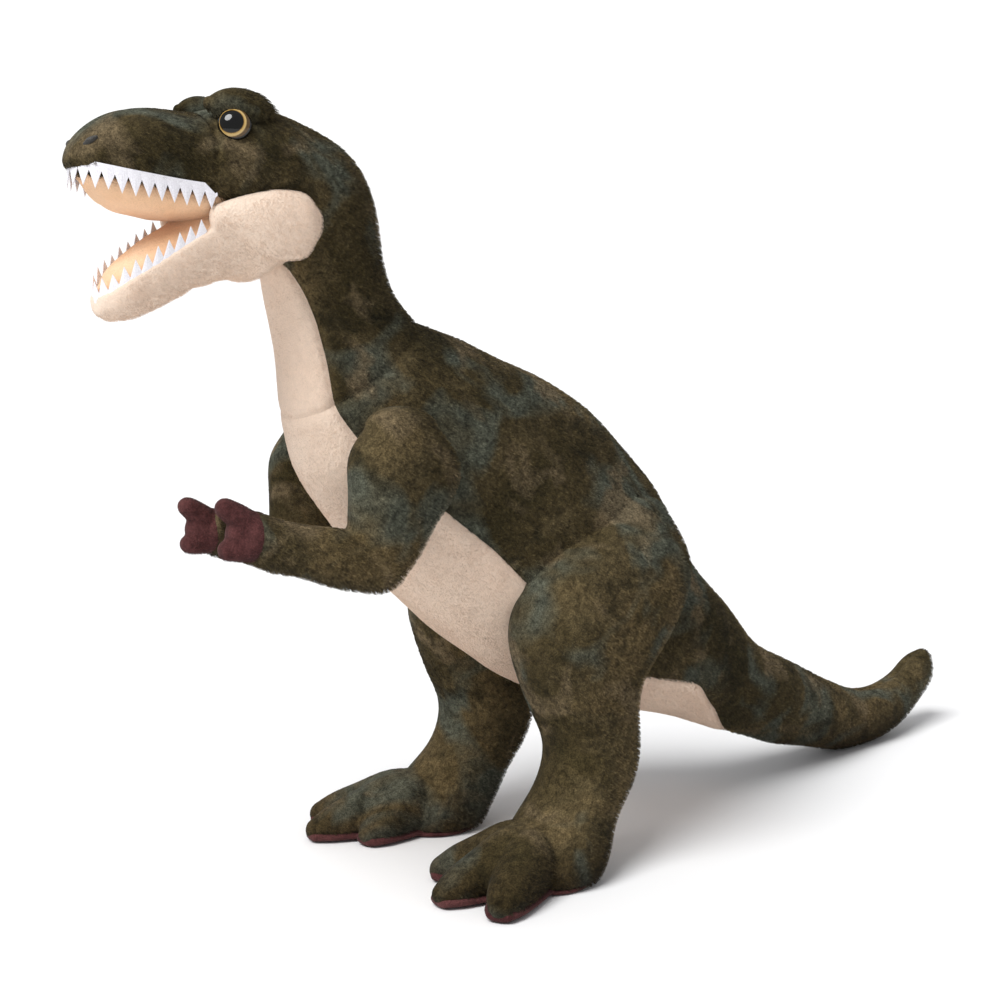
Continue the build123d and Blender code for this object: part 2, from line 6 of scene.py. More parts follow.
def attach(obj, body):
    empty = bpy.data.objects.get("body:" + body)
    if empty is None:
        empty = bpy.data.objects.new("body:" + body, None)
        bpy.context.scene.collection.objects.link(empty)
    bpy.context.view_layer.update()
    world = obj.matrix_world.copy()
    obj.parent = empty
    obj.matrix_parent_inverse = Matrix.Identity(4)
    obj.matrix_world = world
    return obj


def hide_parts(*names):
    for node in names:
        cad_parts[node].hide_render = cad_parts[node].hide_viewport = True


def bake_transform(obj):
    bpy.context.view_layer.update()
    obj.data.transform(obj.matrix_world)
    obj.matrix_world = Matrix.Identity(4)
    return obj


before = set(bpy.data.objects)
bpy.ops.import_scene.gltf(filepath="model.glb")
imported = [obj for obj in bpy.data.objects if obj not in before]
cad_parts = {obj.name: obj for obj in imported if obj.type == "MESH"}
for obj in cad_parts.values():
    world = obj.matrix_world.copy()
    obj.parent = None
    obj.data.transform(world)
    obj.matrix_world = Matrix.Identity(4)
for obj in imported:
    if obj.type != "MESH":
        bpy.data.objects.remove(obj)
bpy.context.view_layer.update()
random.seed(4)
rng = np.random.default_rng(11)
SX, SY = 151.5, -0.5


def M(p):
    """CAD millimetres in the table frame to scene metres."""
    p = np.asarray(p, float)
    return (p + np.array([SX, SY, 0.0])) / 1000.0


# ------------------------------------------------------------------ materials
def new_mat(name):
    m = bpy.data.materials.new(name)
    m.use_nodes = True
    nt = m.node_tree
    for n in list(nt.nodes):
        nt.nodes.remove(n)
    out = nt.nodes.new("ShaderNodeOutputMaterial")
    b = nt.nodes.new("ShaderNodeBsdfPrincipled")
    nt.links.new(b.outputs[0], out.inputs[0])
    return m, nt, b


def noise(nt, co, scale, detail=3.0, rough=0.55, dist=0.0):
    n = nt.nodes.new("ShaderNodeTexNoise")
    n.inputs["Scale"].default_value = scale
    n.inputs["Detail"].default_value = detail
    n.inputs["Roughness"].default_value = rough
    n.inputs["Distortion"].default_value = dist
    nt.links.new(co, n.inputs["Vector"])
    return n.outputs["Fac"]


def ramp(nt, fac, stops):
    r = nt.nodes.new("ShaderNodeValToRGB")
    e = r.color_ramp.elements
    while len(e) > 1:
        e.remove(e[0])
    e[0].position, e[0].color = stops[0][0], (*stops[0][1], 1)
    for p, c in stops[1:]:
        x = e.new(p)
        x.color = (*c, 1)
    nt.links.new(fac, r.inputs[0])
    return r.outputs[0]


def mix(nt, fac, a, b, mode="MIX"):
    m = nt.nodes.new("ShaderNodeMix")
    m.data_type = "RGBA"
    m.blend_type = mode
    for s, v in ((m.inputs[0], fac), (m.inputs[6], a), (m.inputs[7], b)):
        if hasattr(v, "is_linked"):
            nt.links.new(v, s)
        elif isinstance(v, (int, float)):
            s.default_value = v
        else:
            s.default_value = (*v, 1)
    return m.outputs[2]


def math_node(nt, op, a, b=None, c=None):
    m = nt.nodes.new("ShaderNodeMath")
    m.operation = op
    for s, v in zip(m.inputs, (a, b, c)):
        if v is None:
            continue
        if hasattr(v, "is_linked"):
            nt.links.new(v, s)
        else:
            s.default_value = v
    return m.outputs[0]


def bump(nt, b, height, strength, dist=0.001):
    n = nt.nodes.new("ShaderNodeBump")
    n.inputs["Strength"].default_value = strength
    n.inputs["Distance"].default_value = dist
    nt.links.new(height, n.inputs["Height"])
    nt.links.new(n.outputs[0], b.inputs["Normal"])


def coords(nt):
    return nt.nodes.new("ShaderNodeTexCoord").outputs["Object"]


def plush(name, kind, hair=False):
    m, nt, b = new_mat(name)
    co = coords(nt)
    fine = noise(nt, co, 1100.0, 2.0, 0.6)
    clump = noise(nt, co, 230.0, 3.0, 0.65, 0.6)
    lo, hi, amt, amt2 = 0.70, 1.22, 0.16, 0.20
    if kind == "green":
        big = noise(nt, co, 10.0, 4.0, 0.6, 0.6)
        col = ramp(nt, big, [(0.32, (0.030, 0.024, 0.0100)), (0.44, (0.052, 0.039, 0.0170)), (0.52, (0.074, 0.056, 0.0270)),
                             (0.60, (0.112, 0.081, 0.0380)), (0.70, (0.054, 0.040, 0.0170))])
        two = noise(nt, co, 19.0, 2.0, 0.5, 0.7)
        teal = ramp(nt, two, [(0.50, (0, 0, 0)), (0.62, (1, 1, 1))])
        col = mix(nt, math_node(nt, "MULTIPLY", teal, 0.8), col, (0.078, 0.086, 0.066))
        four = noise(nt, co, 29.0, 2.0, 0.5, 0.6)
        tan = ramp(nt, four, [(0.58, (0, 0, 0)), (0.70, (1, 1, 1))])
        col = mix(nt, math_node(nt, "MULTIPLY", tan, 0.72), col, (0.150, 0.112, 0.064))
        three = noise(nt, co, 37.0, 2.0, 0.5, 0.9)
        spot = ramp(nt, three, [(0.58, (0, 0, 0)), (0.70, (1, 1, 1))])
        col = mix(nt, math_node(nt, "MULTIPLY", spot, 0.6), col, (0.016, 0.014, 0.0070))
        # painted shade: the green (skin and pile) is multiplied darker, down to half, over its lowest ~37 mm of height
        # (object Z), standing in for the shade near the floor
        sep = nt.nodes.new("ShaderNodeSeparateXYZ")
        nt.links.new(co, sep.inputs[0])
        painted_floor_shade = ramp(nt, math_node(nt, "MULTIPLY", sep.outputs["Z"], 20.0), [(0.10, (0.50, 0.46, 0.44)), (0.75, (1, 1, 1))])
        col = mix(nt, 1.0, col, painted_floor_shade, "MULTIPLY")
        lo, hi, amt, amt2 = 0.45, 1.55, 0.9, 0.85
    elif kind == "cream":
        big = noise(nt, co, 14.0, 2.0)
        col = ramp(nt, big, [(0.3, (0.80, 0.625, 0.495)), (0.7, (0.85, 0.69, 0.56))])
    elif kind == "peach":
        big = noise(nt, co, 26.0, 2.0)
        col = ramp(nt, big, [(0.3, (0.84, 0.50, 0.28)), (0.7, (0.90, 0.62, 0.41))])
    else:
        big = noise(nt, co, 30.0, 2.0)
        col = ramp(nt, big, [(0.3, (0.060, 0.020, 0.020)), (0.7, (0.105, 0.040, 0.038))])
        lo, hi, amt, amt2 = 0.55, 1.35, 0.7, 0.7
    shade = ramp(nt, clump, [(0.30, (lo, lo, lo)), (0.70, (hi, hi, hi))])
    col = mix(nt, amt, col, shade, "MULTIPLY")
    if hair and kind in ("green", "maroon"):
        grain = noise(nt, co, 520.0, 2.0, 0.6)
        col = mix(nt, 0.9, col, ramp(nt, grain, [(0.32, (0.42, 0.42, 0.42)), (0.68, (1.65, 1.65, 1.65))]), "MULTIPLY")
    if not hair:
        shade2 = ramp(nt, fine, [(0.30, (lo, lo, lo)), (0.70, (hi, hi, hi))])
        col = mix(nt, amt2, col, shade2, "MULTIPLY")
    if hair:
        info = nt.nodes.new("ShaderNodeHairInfo")
        k0, k1 = {"green": (0.35, 1.9), "maroon": (0.6, 1.4)}.get(kind, (0.82, 1.12))
        col = mix(nt, 1.0, col, ramp(nt, info.outputs["Random"], [(0.0, (k0, k0, k0)), (1.0, (k1, k1, k1))]), "MULTIPLY")
        # painted shade and painted light: each strand is darker at its root and lighter at its tip (hair Intercept),
        # standing in for the shade deep in the pile and the light on the fibre tips
        t0, t1 = {"green": (0.55, 1.45), "maroon": (0.7, 1.25)}.get(kind, (0.90, 1.04))
        col = mix(nt, 1.0, col, ramp(nt, info.outputs["Intercept"], [(0.0, (t0, t0, t0)), (1.0, (t1, t1, t1))]), "MULTIPLY")
    nt.links.new(col, b.inputs["Base Color"])
    b.inputs["Roughness"].default_value = 0.9 if not hair else 0.6
    b.inputs["Specular IOR Level"].default_value = 0.06 if not hair else 0.12
    b.inputs["Sheen Weight"].default_value = {"green": 0.025, "cream": 0.15, "peach": 0.15}.get(kind, 0.05)
    b.inputs["Sheen Roughness"].default_value = 0.5
    if not hair:
        h = math_node(nt, "ADD", math_node(nt, "MULTIPLY", fine, 0.5), clump)
        if kind == "green":
            rings = nt.nodes.new("ShaderNodeTexVoronoi")
            rings.feature = "SMOOTH_F1"
            rings.inputs["Scale"].default_value = 46.0
            nt.links.new(co, rings.inputs["Vector"])
            h = math_node(nt, "SUBTRACT", h, math_node(nt, "MULTIPLY", rings.outputs["Distance"], 1.1))
        bump(nt, b, h, 0.6, 0.0016)
    return m


GREEN, CREAM, PEACH, MAROON = plush("plush_green", "green"), plush("plush_cream", "cream"), plush("plush_peach", "peach"), plush("plush_maroon", "maroon")
PILE = {"green": plush("pile_green", "green", True), "cream": plush("pile_cream", "cream", True), "maroon": plush("pile_maroon", "maroon", True),
        "peach": plush("pile_peach", "peach", True)}


def felt():
    m, nt, b = new_mat("tooth_felt")
    co = coords(nt)
    f = noise(nt, co, 1400.0, 3.0)
    nt.links.new(ramp(nt, f, [(0.3, (0.74, 0.72, 0.77)), (0.7, (0.90, 0.89, 0.93))]), b.inputs["Base Color"])
    b.inputs["Roughness"].default_value = 0.85
    b.inputs["Sheen Weight"].default_value = 0.2
    bump(nt, b, f, 0.5, 0.0004)
    return m


def simple(name, c0, c1, scale, rough, cls_sheen=0.0, bstr=0.3):
    m, nt, b = new_mat(name)
    co = coords(nt)
    f = noise(nt, co, scale, 3.0)
    nt.links.new(ramp(nt, f, [(0.3, c0), (0.7, c1)]), b.inputs["Base Color"])
    b.inputs["Roughness"].default_value = rough
    b.inputs["Sheen Weight"].default_value = cls_sheen
    bump(nt, b, f, bstr, 0.0006)
    return m


FELT = felt()
FIBRE = simple("fibre_fill", (0.70, 0.70, 0.68), (0.86, 0.86, 0.84), 160.0, 0.95, 0.3, 0.8)
BAG = simple("bean_bag_cloth", (0.50, 0.48, 0.44), (0.62, 0.60, 0.56), 700.0, 0.9, 0.1, 0.5)
WASHER = simple("washer_plastic", (0.62, 0.62, 0.62), (0.70, 0.70, 0.70), 400.0, 0.5, 0.0, 0.1)
THREAD = simple("dark_thread", (0.008, 0.008, 0.006), (0.030, 0.026, 0.020), 800.0, 0.55, 0.2, 0.6)
STITCH = simple("sewing_thread", (0.20, 0.15, 0.11), (0.34, 0.27, 0.20), 900.0, 0.7, 0.2, 0.5)
SEAM = simple("seam_green", (0.022, 0.022, 0.014), (0.045, 0.043, 0.026), 500.0, 0.95, 0.1, 0.6)


def eye_mat():
    m, nt, b = new_mat("eye_plastic")
    at = nt.nodes.new("ShaderNodeAttribute")
    at.attribute_name = "rad"
    co = coords(nt)
    n = noise(nt, co, 1500.0, 2.0)
    r = math_node(nt, "ADD", at.outputs["Fac"], math_node(nt, "MULTIPLY", math_node(nt, "SUBTRACT", n, 0.5), 0.02))
    col = ramp(nt, r, [(0.0, (0.002, 0.002, 0.002)), (0.675, (0.003, 0.003, 0.002)), (0.70, (0.16, 0.085, 0.018)), (0.74, (0.50, 0.32, 0.10)),
                       (0.83, (0.62, 0.44, 0.18)), (0.875, (0.16, 0.09, 0.03)), (0.90, (0.006, 0.005, 0.004)), (1.0, (0.004, 0.004, 0.003))])
    nt.links.new(col, b.inputs["Base Color"])
    b.inputs["Roughness"].default_value = 0.07
    b.inputs["Specular IOR Level"].default_value = 0.45
    return m


EYE = eye_mat()

# ------------------------------------------------------------------ geometry helpers
def natural_spline(t, y, q):
    t, y, q = np.asarray(t, float), np.asarray(y, float), np.asarray(q, float)
    y = y.reshape(len(t), -1)
    n = len(t)
    h = np.diff(t)
    A = np.zeros((n, n)); R = np.zeros((n, y.shape[1]))
    A[0, 0] = A[-1, -1] = 1
    for i in range(1, n - 1):
        A[i, i - 1], A[i, i], A[i, i + 1] = h[i - 1], 2 * (h[i - 1] + h[i]), h[i]
        R[i] = 6 * ((y[i + 1] - y[i]) / h[i] - (y[i] - y[i - 1]) / h[i - 1])
    m = np.linalg.solve(A, R)
    k = np.clip(np.searchsorted(t, q) - 1, 0, n - 2)
    a = (t[k + 1] - q) / h[k]; b = (q - t[k]) / h[k]
    return (a[:, None] * y[k] + b[:, None] * y[k + 1] +
            ((a ** 3 - a)[:, None] * m[k] + (b ** 3 - b)[:, None] * m[k + 1]) * (h[k] ** 2)[:, None] / 6)


def rows_from(table):
    """rows: (centre, half width vector, up vector, squareness of the lower half)"""
    out = []
    for r in table:
        out.append((np.array([r[0], r[1], r[2]], float), np.array([0, r[3], 0], float), np.array([r[4], 0, r[5]], float), r[6] if len(r) > 6 else 2.0))
    return out


class Loft:
    def __init__(self, rows, ns, nt, cap=(0.9, 0.9), prof=None, wobble=0.0, low=None):
        c = np.array([r[0] for r in rows]); U = np.array([r[1] for r in rows]); V = np.array([r[2] for r in rows])
        n = np.array([r[3] for r in rows]); L = np.array([1.0 if low is None else low[i] for i in range(len(rows))])
        d = np.r_[0, np.cumsum(np.linalg.norm(np.diff(c, axis=0), axis=1))]
        self.d = d
        q = np.linspace(0, d[-1], ns)
        C, UU, VV = natural_spline(d, c, q), natural_spline(d, U, q), natural_spline(d, V, q)
        N = np.interp(q, d, n); LL = np.interp(q, d, L)
        t = np.linspace(0, 2 * np.pi, nt, endpoint=False)
        ct, st = np.cos(t), np.sin(t)
        e = np.where(st[None] < 0, 2.0 / N[:, None], 1.0)
        cx = np.sign(ct)[None] * np.abs(ct)[None] ** e
        cy = np.sign(st)[None] * np.abs(st)[None] ** e
        cy = np.where(cy < 0, cy * LL[:, None], cy)
        S = C[:, None] + UU[:, None] * cx[..., None] + VV[:, None] * cy[..., None]
        sv = q.copy()
        def endcap(i, j, amount):
            ax = C[i] - C[j]; ax /= np.linalg.norm(ax)
            r = min(np.linalg.norm(UU[i]), np.linalg.norm(VV[i])) * amount
            return [C[i] + ax * r * a + (S[i] - C[i]) * math.sqrt(max(0.0, 1 - a * a)) for a in (0.25, 0.48, 0.68, 0.84, 0.94, 0.985)], C[i] + ax * r
        rings = list(S); svals = list(sv)
        self.tip0 = self.tip1 = None
        if cap[0]:
            r0, self.tip0 = endcap(0, 1, cap[0]); rings = r0[::-1] + rings; svals = [sv[0]] * len(r0) + svals
        if cap[1]:
            r1, self.tip1 = endcap(-1, -2, cap[1]); rings = rings + r1; svals = svals + [sv[-1]] * len(r1)
        self.S = np.array(rings); self.s = np.array(svals); self.t = np.degrees(t)
        self.C = np.array([r.mean(0) for r in self.S])

    def radial(self):
        d = self.S - self.C[:, None]
        return d / (np.linalg.norm(d, axis=2, keepdims=True) + 1e-9)

    def push(self, amount):
        self.S = self.S + self.radial() * amount[..., None]

    def mesh(self, name, mats, face_mat=None):
        ns, nt = self.S.shape[:2]
        verts = [tuple(M(p)) for p in self.S.reshape(-1, 3)]
        faces = []; fm = []
        for i in range(ns - 1):
            for j in range(nt):
                k = (j + 1) % nt
                faces.append((i * nt + j, i * nt + k, (i + 1) * nt + k, (i + 1) * nt + j))
                fm.append(face_mat(i, j) if face_mat else 0)
        for i, tip in ((0, self.tip0), (ns - 1, self.tip1)):
            c = self.S[i].mean(0) if tip is None else tip
            verts.append(tuple(M(c))); v = len(verts) - 1
            for j in range(nt):
                k = (j + 1) % nt
                faces.append((i * nt + k, i * nt + j, v) if i == 0 else (i * nt + j, i * nt + k, v))
                fm.append(face_mat(min(max(i, 0), ns - 2), j) if face_mat else 0)
        me = bpy.data.meshes.new(name)
        me.from_pydata(verts, [], faces)
        for m in mats:
            me.materials.append(m)
        me.polygons.foreach_set("material_index", fm)
        me.validate()
        bm = bmesh.new(); bm.from_mesh(me); bmesh.ops.recalc_face_normals(bm, faces=bm.faces); bm.to_mesh(me); bm.free()
        me.polygons.foreach_set("use_smooth", [True] * len(me.polygons))
        ob = bpy.data.objects.new(name, me)
        bpy.context.scene.collection.objects.link(ob)
        return ob


def apply_mods(ob):
    dg = bpy.context.evaluated_depsgraph_get()
    me = bpy.data.meshes.new_from_object(ob.evaluated_get(dg))
    ob.modifiers.clear()
    old = ob.data
    ob.data = me
    bpy.data.meshes.remove(old)
    me.polygons.foreach_set("use_smooth", [True] * len(me.polygons))


def fuse(name, obs, voxel, mat, smooth=6):
    """Joins overlapping forms into one sewn and stuffed skin."""
    bm = bmesh.new()
    for o in obs:
        bm.from_mesh(o.data)
        bpy.data.objects.remove(o)
    me = bpy.data.meshes.new(name); bm.to_mesh(me); bm.free()
    ob = bpy.data.objects.new(name, me); bpy.context.scene.collection.objects.link(ob)
    me.materials.clear(); me.materials.append(mat)
    r = ob.modifiers.new("r", "REMESH"); r.mode = "VOXEL"; r.voxel_size = voxel * 1.0
    s = ob.modifiers.new("s", "SMOOTH"); s.iterations = smooth; s.factor = 0.5
    apply_mods(ob)
    me = ob.data
    me.materials.clear(); me.materials.append(mat)
    return ob


def gauss(x, w):
    return np.exp(-(x / w) ** 2)


def lumps(S, amp, scale, seed):
    """Slow unevenness of hand-filled stuffing."""
    r = np.random.default_rng(seed)
    out = np.zeros(S.shape[:2])
    for _ in range(9):
        k = r.normal(size=3) * scale
        out += np.sin(S @ k + r.uniform(0, 6.28))
    return out / 9 * amp * 2.2


def wrap(a):
    return (a + 180.0) % 360.0 - 180.0


class Body:
    """A stuffed tube of skin, cut into an upper and a lower panel along two sewn seams."""
    def __init__(self, table, beta, lump, seed, top=True, cross=()):
        rows = rows_from(table)
        self.c = np.array([r[0] for r in rows]); self.u = np.array([r[1] for r in rows]); self.v = np.array([r[2] for r in rows])
        self.n = np.array([r[3] for r in rows])
        self.d = np.r_[0, np.cumsum(np.linalg.norm(np.diff(self.c, axis=0), axis=1))]
        self.b, self.lump, self.seed, self.top, self.cross = np.array(beta, float), lump, seed, top, cross
        self.fade = 0.0

    def beta(self, q):
        k = np.linspace(0, self.d[-1], 400)
        y = np.interp(k, self.d, self.b)
        pad = np.r_[np.full(12, y[0]), y, np.full(12, y[-1])]
        z = np.convolve(pad, np.hanning(25) / np.hanning(25).sum(), "same")[12:-12]
        i = np.arange(400)
        y = z + (y[0] - z[0]) * np.exp(-i / 12.0) + (y[-1] - z[-1]) * np.exp(-(399 - i) / 12.0)
        return np.interp(q, k, np.clip(y, 0, None))

    def at(self, q, A):
        q = np.asarray(q, float)
        C, U, V = (natural_spline(self.d, a, q) for a in (self.c, self.u, self.v))
        nn = np.interp(q, self.d, self.n)
        t = np.radians(A); ct, st = np.cos(t), np.sin(t)
        e = np.where(st < 0, 2.0 / nn[:, None], 1.0)
        P = C[:, None] + U[:, None] * (np.sign(ct) * np.abs(ct) ** e)[..., None] + V[:, None] * (np.sign(st) * np.abs(st) ** e)[..., None]
        d = P - C[:, None]; rad = np.linalg.norm(d, axis=2); rd = d / (rad[..., None] + 1e-9)
        b = self.beta(q)[:, None]
        near = np.radians(np.minimum(np.abs(wrap(A - 270 + b)), np.abs(wrap(A - 270 - b)))) * rad
        live = np.clip(b / 8.0, 0, 1)
        soft = np.clip(rad / 18.0, 0, 1)
        amount = lumps(P, self.lump, 0.045, self.seed) * soft * np.clip(q[:, None] / 30.0, 0, 1)
        amount = amount + live * (-1.6 * gauss(near, 2.0) + 0.9 * gauss(near - 6.5, 5.0))
        if self.top:
            td = np.radians(np.abs(wrap(A - 90))) * rad
            amount = amount + soft * (-1.1 * gauss(td, 1.7) + 0.5 * gauss(td - 5, 4.0))
        for at, depth, width in self.cross:
            amount = amount - depth * gauss(q[:, None] - at, width) * soft
        return P + rd * amount[..., None]

    def panel(self, name, mat, q0, q1, ns, nt, lower=False, close=False, tuck=False):
        q = np.linspace(q0, q1, ns)
        b = self.beta(q)
        f = np.linspace(0, 1, nt)[None, :]
        if lower:
            A = 270 - b[:, None] + 2 * b[:, None] * f
        else:
            A = -90 + b[:, None] + (360 - 2 * b[:, None]) * f
        S = self.at(q, A)
        if tuck:
            c = self.at(q[:1], np.linspace(0, 350, 36)[None, :]).mean((0, 1))
            t = S[1].mean(0) - S[0].mean(0); t /= np.linalg.norm(t)
            r = S[0] - c; r *= 1 - 3.0 / np.linalg.norm(r, axis=1, keepdims=True)
            S = np.concatenate([(c + r - t * 9.0)[None], (c + r * 1.02 - t * 3.0)[None], S]); ns += 2
        verts = [tuple(M(p)) for p in S.reshape(-1, 3)]
        faces = [(i * nt + j, i * nt + j + 1, (i + 1) * nt + j + 1, (i + 1) * nt + j) for i in range(ns - 1) for j in range(nt - 1)]
        if close:
            r = S[-1]; ax = r.mean(0) - S[-2].mean(0); ax /= np.linalg.norm(ax) + 1e-9
            verts.append(tuple(M(r.mean(0) + ax * 2.0))); v = len(verts) - 1
            faces += [((ns - 1) * nt + j, (ns - 1) * nt + j + 1, v) for j in range(nt - 1)]
        me = bpy.data.meshes.new(name); me.from_pydata(verts, [], faces); me.materials.append(mat)
        bm = bmesh.new(); bm.from_mesh(me)
        bmesh.ops.remove_doubles(bm, verts=bm.verts, dist=0.00002)
        bmesh.ops.dissolve_degenerate(bm, edges=bm.edges, dist=0.00001)
        bmesh.ops.recalc_face_normals(bm, faces=bm.faces)
        c = Vector(M(S[ns // 2].mean(0) if not lower else self.at(q[len(q) // 2:len(q) // 2 + 1], np.array([[0.0, 180.0]])).mean((0, 1))))
        ff = min(bm.faces, key=lambda x: (x.calc_center_median() - Vector(M(S[ns // 2, nt // 2]))).length)
        if (ff.calc_center_median() - c).dot(ff.normal) < 0:
            bmesh.ops.reverse_faces(bm, faces=bm.faces)
        bm.to_mesh(me); bm.free()
        me.polygons.foreach_set("use_smooth", [True] * len(me.polygons))
        ob = bpy.data.objects.new(name, me); bpy.context.scene.collection.objects.link(ob)
        return ob


NSQ = 1.0
def N(v): return max(12, int(v * NSQ))

TORSO = [(56.5, 0, 314.0, 40.0, -40.5, 28.3), (36.0, 0, 293.5, 52.0, -52.0, 37.0), (4.0, 0, 268.0, 62.5, -60.0, 47.0), (-37.0, 0, 236.5, 70.0, -64.0, 57.0),
         (-76.0, 0, 203.5, 73.0, -64.0, 57.5), (-118.0, 0, 165.0, 68.0, -57.0, 54.0), (-160.0, 0, 132.0, 58.5, -45.5, 43.0), (-202.0, -0.5, 110.0, 48.0, -35.0, 35.0)]
TAIL = [(-202.0, -0.5, 110.0, 48.0, -35.0, 35.0), (-243.0, -2.0, 87.5, 39.0, -26.0, 29.5), (-287.0, -7.0, 68.0, 33.0, -20.0, 26.5), (-333.0, -14.0, 50.0, 28.5, -15.0, 24.5),
        (-380.0, -22.0, 34.0, 25.0, -10.0, 22.5), (-426.0, -30.0, 22.0, 22.0, -4.0, 21.6), (-470.0, -36.0, 24.5, 19.0, 3.0, 17.5), (-505.0, -41.0, 37.0, 15.5, 7.0, 13.5),
        (-524.0, -44.0, 51.0, 11.0, 7.5, 8.0), (-530.5, -45.0, 57.5, 5.0, 3.6, 3.6)]
HEAD = [(56.5, 0, 314.0, 40.0, -40.5, 28.3), (64.0, 0, 334.0, 36.5, -35.5, 21.0), (70.0, 0, 354.0, 34.5, -33.0, 15.0), (73.2, 0, 367.9, 34.3, -32.5, 13.0),
        (77.0, 0, 388.0, 37.5, -32.0, 16.0), (83.0, 0, 403.0, 41.0, -30.0, 21.0), (93.0, 0, 416.0, 43.0, -24.5, 26.0, 2.1), (108.0, 0, 425.0, 43.0, -15.0, 29.5, 2.3),
        (125.0, 0, 430.5, 41.5, -8.0, 31.0, 2.6), (142.0, 0, 433.0, 38.0, -3.5, 28.5, 3.0), (157.0, 0, 433.0, 34.4, -2.0, 24.5, 3.8), (174.0, 0, 434.5, 31.2, -1.0, 22.7, 4.5),
        (191.0, 0, 436.0, 29.0, 0.0, 21.5, 4.5), (206.0, 0, 435.5, 25.0, 0.5, 18.0, 4.0), (217.0, 0, 433.0, 19.0, 1.0, 13.0, 3.0), (224.5, 0, 430.0, 11.5, 1.0, 7.0, 2.4), (228.0, 0, 428.5, 4.5, 0.5, 2.5, 2.0)]

# ---- torso and tail share one run of stations so the skin has no step at the hip
RUN = TORSO + TAIL[1:]
trunk = Body(RUN, [47, 50, 56, 60, 58, 55, 58, 70, 46, 0, 0, 0, 0, 0, 0, 0, 0], 1.9, 3, cross=((0.0, 1.3, 2.6),))
dT = trunk.d[len(TORSO) - 1]; dE = trunk.d[-1]
PLUSH = []
torso = trunk.panel("torso_skin", GREEN, 0, dT, N(180), N(170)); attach(torso, "torso"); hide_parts("torso_panel_left", "torso_panel_right")
belly = trunk.panel("belly_skin", CREAM, 0, dT, N(180), N(90), lower=True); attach(belly, "torso"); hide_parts("belly_panel")
tail = trunk.panel("tail_skin", GREEN, dT, dE, N(200), N(120), close=True, tuck=True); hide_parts("tail_panel_left", "tail_panel_right")
q = np.linspace(dT, dE, 400); end = q[np.argmax(trunk.beta(q) < 0.6)]
under = trunk.panel("under_tail_skin", CREAM, dT, end, N(60), N(70), lower=True, tuck=True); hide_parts("under_tail_panel")
for o in (tail, under):
    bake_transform(o)
neck = Body(HEAD, [47, 48.5, 46, 40, 24, 8] + [0] * 11, 0.8, 8, cross=((0.0, 1.3, 2.6), (240.0, 0.0, 1.0)))
dM = neck.d[10]
neck.cross = ((0.0, 1.3, 2.6), (float(dM), 2.0, 1.5))
head = neck.panel("head_skin", GREEN, 0, neck.d[-1], N(230), N(170), close=True, tuck=True)
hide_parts("neck_panel_left", "neck_panel_right", "head_panel_left", "head_panel_right", "muzzle_cover")
q = np.linspace(0, neck.d[-1], 400); end = q[np.argmax(neck.beta(q) < 0.6)]
throat = neck.panel("throat_skin", CREAM, 0, end, N(90), N(70), lower=True, tuck=True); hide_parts("throat_panel", "chin_gusset")
for o in (head, throat):
    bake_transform(o)
for o in (torso, tail, head):
    PLUSH.append((o, "green"))
for o in (belly, under, throat):
    PLUSH.append((o, "cream"))

# ---- lower jaw with its cheek lobes
JAW = [(107, 392, 35, 13, 15), (118, 393, 40, 14, 21.5), (132, 394, 38.5, 8, 26), (148, 394.5, 34.5, 4.5, 28), (158, 393, 32.4, 3.0, 30), (168, 388, 30.3, 2.5, 30),
       (179, 381, 27.5, 2.5, 28), (196, 370, 22.5, 2.5, 24), (207, 362, 16.5, 2.2, 17), (213, 357, 9, 2, 9)]
def half_rows(t):
    return [(np.array([x, 0, z], float), np.array([0, w, 0], float), np.array([0, 0, ht], float), 2.3) for x, z, w, ht, hb in t], [hb / ht for x, z, w, ht, hb in t]
rows, low = half_rows(JAW)
lf = Loft(rows, N(110), N(120), (0.6, 0.5), low=low)
lf.push(lumps(lf.S, 0.4, 0.06, 14))
parts = [lf.mesh("jaw_tmp", [CREAM])]
for side in (1, -1):
    rows = [(np.array([x, side * y, z], float), np.array([0, w, 0], float), np.array([0, 0, h], float), 2.0) for x, y, z, w, h in
            ((101, 36.8, 397.5, 7.0, 10), (105, 38.1, 396.5, 8.8, 15.5), (113, 38.8, 396, 9.3, 18.6), (123, 38.0, 396.5, 9.0, 18.8), (135, 36.0, 397.5, 8.2, 16), (147, 33.2, 399.2, 6.4, 11), (157, 30.8, 400.0, 4.2, 6.5))]
    lf = Loft(rows, N(60), N(60), (0.9, 0.8)); lf.push(lumps(lf.S, 0.6, 0.09, 71 + side)); parts.append(lf.mesh("cheek_tmp", [CREAM]))
jaw = fuse("jaw_skin", parts, 0.0013, CREAM, 5)
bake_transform(jaw)
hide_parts("jaw_cover", "cheek_left", "cheek_right"); PLUSH.append((jaw, "cream"))

LIN = [(136, 399, 25, 8, 6), (146, 397.5, 27.5, 10, 5), (155, 394.5, 28.0, 10.5, 4), (164, 390.5, 27.0, 8.5, 3), (179, 381.2, 23.3, 10, 3), (196, 370.2, 18.3, 9.5, 3), (206, 362.8, 12.3, 7.5, 3), (210.5, 359, 6, 4, 2)]
rows, low = half_rows(LIN)
lf = Loft(rows, N(60), N(80), (0.5, 0.7), low=low); lf.push(lumps(lf.S, 0.5, 0.08, 15))
o = lf.mesh("jaw_lining_pad", [PEACH]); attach(o, "jaw"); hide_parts("jaw_lining")
PAL = [(146, 409.5, 26, 6, 9), (156, 409.8, 28.5, 8, 12), (166, 410.6, 28.3, 8, 12.5), (178, 412.0, 27.0, 8, 13.5), (191, 414.2, 24.7, 8, 13.2), (204, 416.6, 21, 7, 11.0), (213, 419.4, 15, 3, 7.5), (219, 422, 8, 2, 4)]
rows, low = half_rows(PAL)
lf = Loft(rows, N(60), N(80), (0.5, 0.6), low=low); lf.push(lumps(lf.S, 0.5, 0.08, 16))
o = lf.mesh("palate_pad", [PEACH]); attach(o, "head"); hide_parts("palate_lining")

